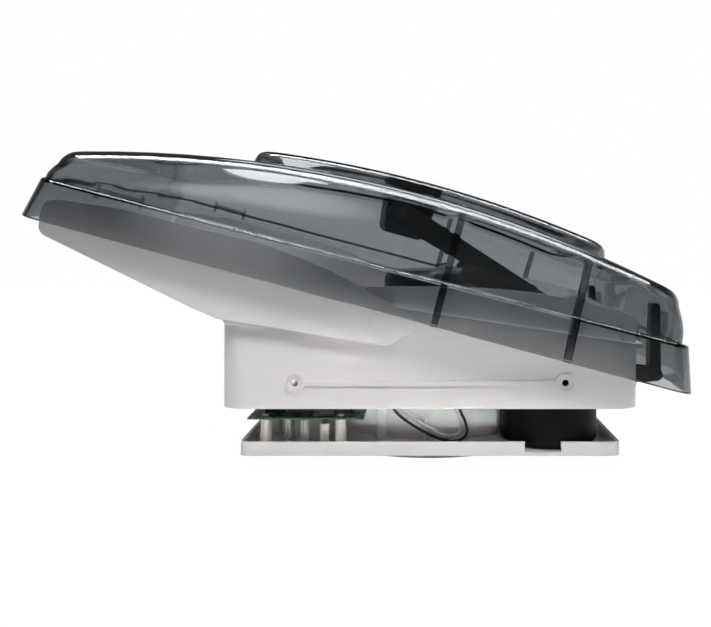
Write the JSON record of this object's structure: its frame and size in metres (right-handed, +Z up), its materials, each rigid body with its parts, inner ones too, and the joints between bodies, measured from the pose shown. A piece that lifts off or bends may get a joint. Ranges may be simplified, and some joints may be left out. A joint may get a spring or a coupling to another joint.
{
  "type": "caravan roof vent",
  "caption": "Powered caravan roof vent with a long smoked lid hinged at the rear, a white rain shield, a square base with a fan and lift arms, and a ceiling panel with controls.",
  "frame": {"origin": "centre of the square base housing at its lower rim, which is the plane of the roof opening", "axes": "+X to the rear where the lid hinges, +Y to the side away from the lift drum, +Z up out of the roof"},
  "size_m": [0.5661, 0.419, 0.2847],
  "materials": {
    "white_plastic": "satin moulded white",
    "smoked_lid": "clear gloss, smoked",
    "black_plastic": "satin moulded black",
    "steel": "plated",
    "fan_plastic": "dark moulded",
    "screen_wire": "dark woven wire",
    "board_green": "solder mask",
    "chip_black": "moulded black",
    "wire_black": "sheathed",
    "wire_white": "sheathed",
    "roller_nylon": "dark nylon"
  },
  "bodies": {
    "base_body": {"base_housing": "white_plastic", "duct_ring": "white_plastic", "fan_shroud": "white_plastic", "motor_bridge": "black_plastic", "fan_motor": "black_plastic", "ceiling_panel": "white_plastic", "panel_collar": "white_plastic", "panel_posts": "white_plastic", "screen_frame": "white_plastic", "screen_mesh": "screen_wire", "circuit_board": "board_green", "board_parts": "chip_black", "board_screws": "steel", "tact_switches": "chip_black", "signal_lamp": "steel", "panel_screws": "steel", "black_wire": "wire_black", "white_wire": "wire_white", "board_lead": "wire_black", "lift_drum": "black_plastic", "lift_gearbox": "black_plastic", "shaft_bearing": "black_plastic", "hinge_brackets": "black_plastic", "shield_studs": "white_plastic"},
    "lid_body": {"lid": "smoked_lid", "hinge_posts": "black_plastic", "hinge_pins": "steel", "lift_tracks": "black_plastic"},
    "shield_body": {"rain_shield": "white_plastic"},
    "arm_body": {"lift_shaft": "steel", "lift_arms": "black_plastic", "arm_rollers": "roller_nylon"},
    "fan_body": {"fan": "fan_plastic", "motor_shaft": "steel", "hub_nut": "steel"},
    "power_button_body": {"power_button": "white_plastic"},
    "speed_button_body": {"speed_button": "white_plastic"},
    "direction_button_body": {"direction_button": "white_plastic"},
    "lid_button_body": {"lid_button": "white_plastic"}
  },
  "joints": [
    {"name": "lid_hinge", "type": "hinge", "parent": "base_body", "child": "lid_body", "pos_m": [0.2, 0, 0.025], "axis": [0, 1, 0], "range_deg": [-15, 0]},
    {"name": "shield_pivot", "type": "hinge", "parent": "base_body", "child": "shield_body", "pos_m": [-0.043, 0, 0.0746], "axis": [0, 1, 0], "range_deg": [-25, 0]},
    {"name": "arm_swing", "type": "hinge", "parent": "base_body", "child": "arm_body", "pos_m": [0.118, 0, 0.078], "axis": [0, 1, 0], "range_deg": [-22.86, 0]},
    {"name": "fan_spin", "type": "hinge", "parent": "base_body", "child": "fan_body", "pos_m": [0, 0, 0.053], "axis": [0, 0, 1], "continuous": true},
    {"name": "power_button_press", "type": "slide", "parent": "base_body", "child": "power_button_body", "axis": [0, 0, 1], "range_m": [0, 0.0012], "stiffness_N_per_m": 300},
    {"name": "speed_button_press", "type": "slide", "parent": "base_body", "child": "speed_button_body", "axis": [0, 0, 1], "range_m": [0, 0.0012], "stiffness_N_per_m": 300},
    {"name": "direction_button_press", "type": "slide", "parent": "base_body", "child": "direction_button_body", "axis": [0, 0, 1], "range_m": [0, 0.0012], "stiffness_N_per_m": 300},
    {"name": "lid_button_press", "type": "slide", "parent": "base_body", "child": "lid_button_body", "axis": [0, 0, 1], "range_m": [0, 0.0012], "stiffness_N_per_m": 300}
  ],
  "couplings": [
    {"joint": "shield_pivot", "follows": "lid_hinge", "ratio": 1.6667},
    {"joint": "arm_swing", "follows": "lid_hinge", "ratio": 1.524}
  ]
}
